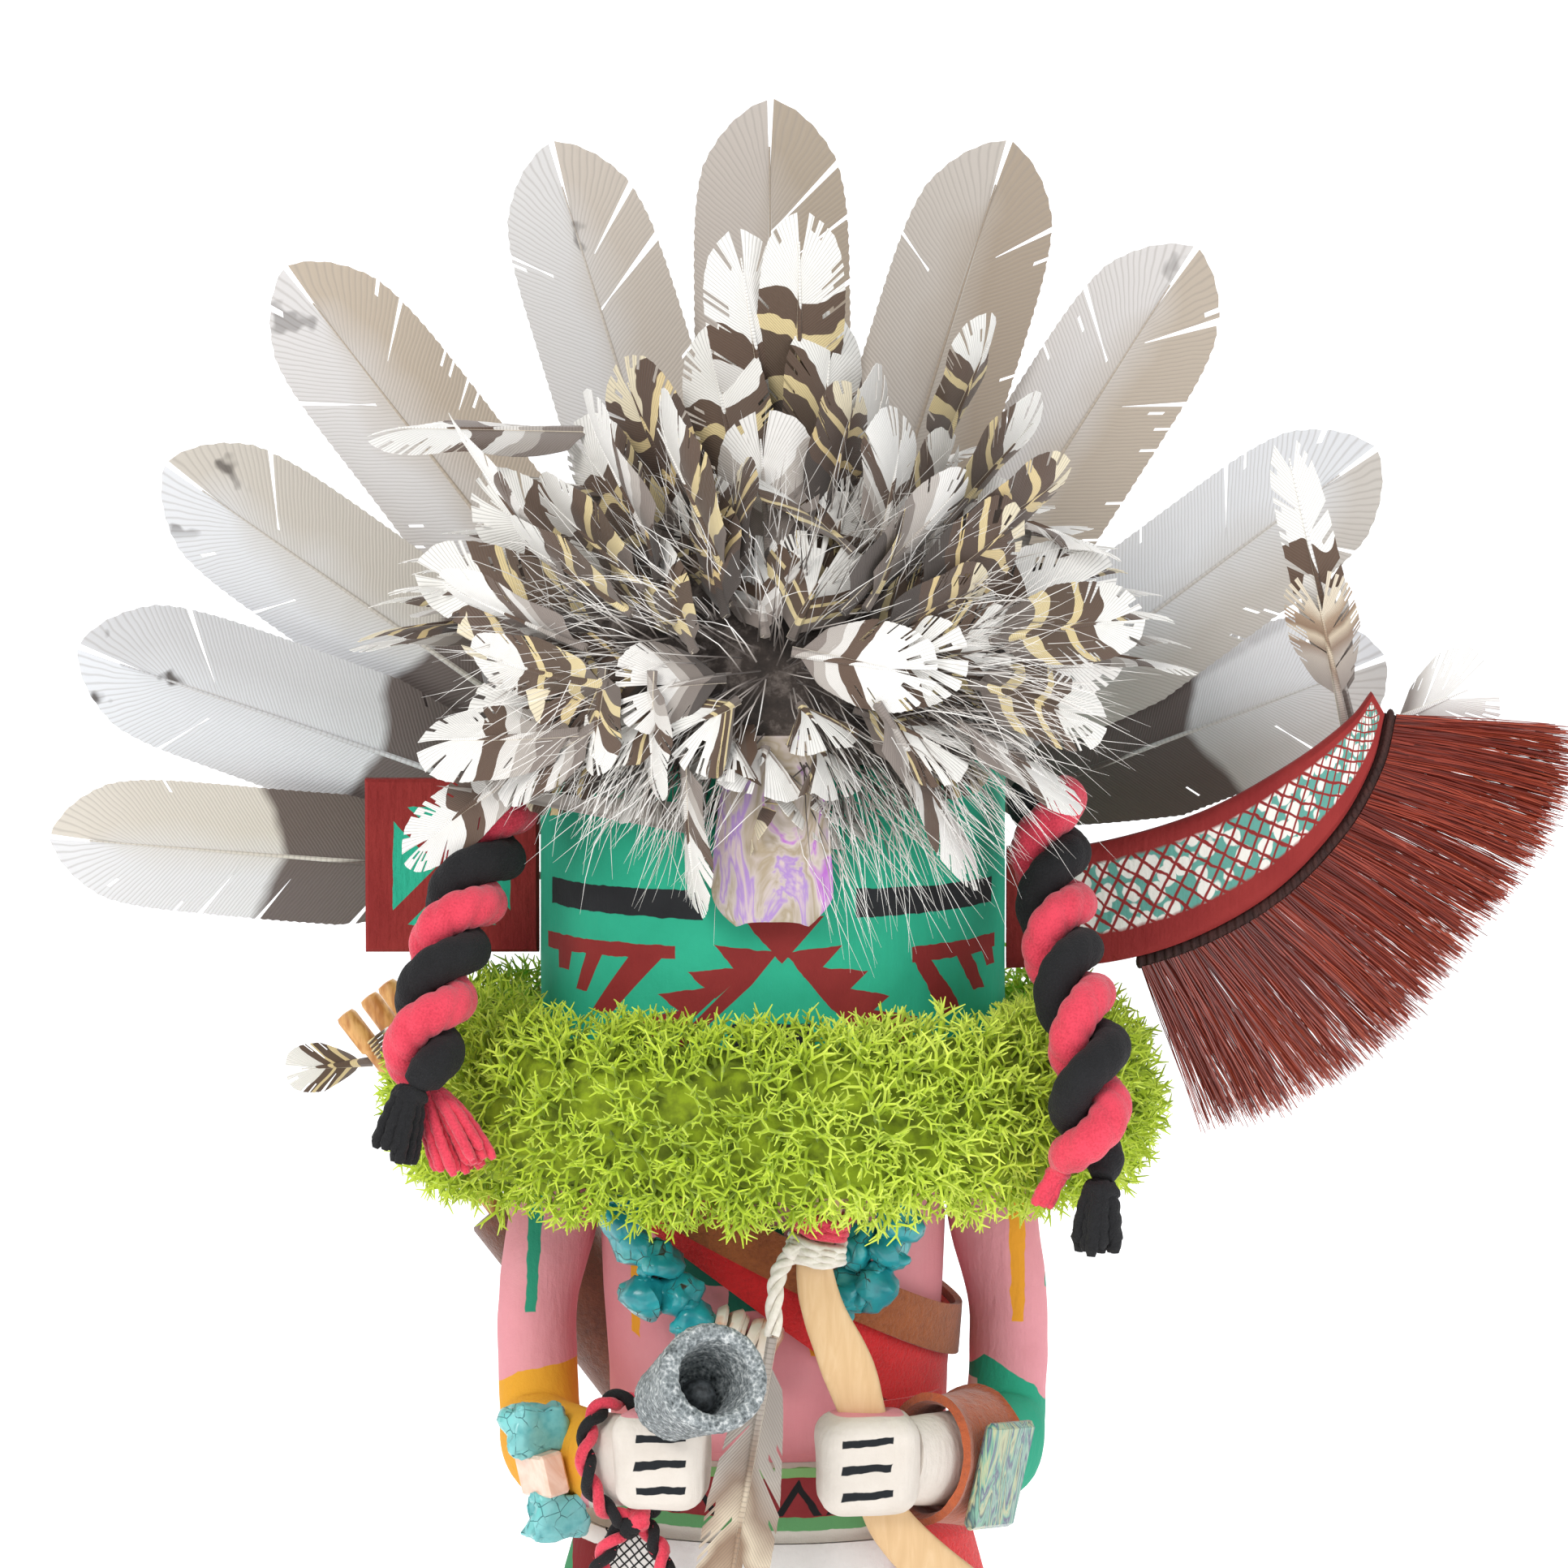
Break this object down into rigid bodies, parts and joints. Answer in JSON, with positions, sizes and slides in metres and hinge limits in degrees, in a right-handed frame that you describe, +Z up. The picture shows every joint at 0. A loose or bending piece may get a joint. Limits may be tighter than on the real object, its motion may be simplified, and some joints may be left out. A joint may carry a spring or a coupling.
{
  "type": "kachina doll",
  "caption": "Standing carved doll with a painted case mask, feather crown and fan, moss ruff, yarn ropes, jewellery, a bell and a throwing stick on a round base.",
  "frame": {"origin": "middle of the round base's underside, on the surface that it stands on", "axes": "+Z up through the doll, -Y the way that it faces, +X the doll's own left"},
  "size_m": [0.2758, 0.1457, 0.402],
  "materials": {
    "base wood": "oiled",
    "painted body": "matte paint",
    "mask paint": "matte paint",
    "dark red paint": "matte paint",
    "pale wood": "sanded",
    "pale feather": "soft sheen",
    "barred feather": "soft sheen",
    "red horsehair": "shiny hair",
    "hair cord": "matte",
    "lichen": "matte",
    "red yarn": "fuzzy",
    "black yarn": "fuzzy",
    "white cotton": "matte",
    "suede": "brushed",
    "turquoise": "tumbled stone",
    "shell": "pearl",
    "stone": "rough stone"
  },
  "bodies": {
    "root": {"abalone_plate": "shell", "arrow_1": "pale wood", "arrow_2": "pale wood", "arrow_3": "pale wood", "base": "base wood", "bell_clapper": "stone", "bracelet_shell": "shell", "bracelet_turquoise_lower": "turquoise", "bracelet_turquoise_upper": "turquoise", "case_mask": "mask paint", "crown_plume": "barred feather", "ear_board": "dark red paint", "fan_feather_01": "pale feather", "fan_feather_02": "pale feather", "fan_feather_03": "pale feather", "fan_feather_04": "pale feather", "fan_feather_05": "pale feather", "fan_feather_06": "pale feather", "fan_feather_07": "pale feather", "fan_feather_08": "pale feather", "fan_feather_09": "pale feather", "fan_feather_10": "pale feather", "figure": "painted body", "forehead_shell": "shell", "fringe_band": "hair cord", "horsehair_fringe": "red horsehair", "left_arm": "painted body", "left_rope_black": "black yarn", "left_rope_black_end": "black yarn", "left_rope_red": "red yarn", "left_rope_red_end": "red yarn", "moss_ruff": "lichen", "necklace_left": "turquoise", "necklace_right": "turquoise", "quiver": "suede", "quiver_feather": "barred feather", "red_sash": "red yarn", "right_arm": "painted body", "right_rope_black": "black yarn", "right_rope_black_end": "black yarn", "right_rope_red": "red yarn", "right_rope_red_end": "red yarn", "shell_discs": "shell", "stick_red_yarn": "red yarn", "stick_string": "white cotton", "stone_bell": "stone", "string_feather": "barred feather", "suede_cuff": "suede", "suede_strap": "suede", "throwing_stick": "pale wood", "tip_down_feather": "barred feather", "tip_spotted_feather": "barred feather", "tip_white_feather": "pale feather", "wing_horn": "dark red paint", "wrist_yarn": "red yarn"}
  },
  "joints": []
}
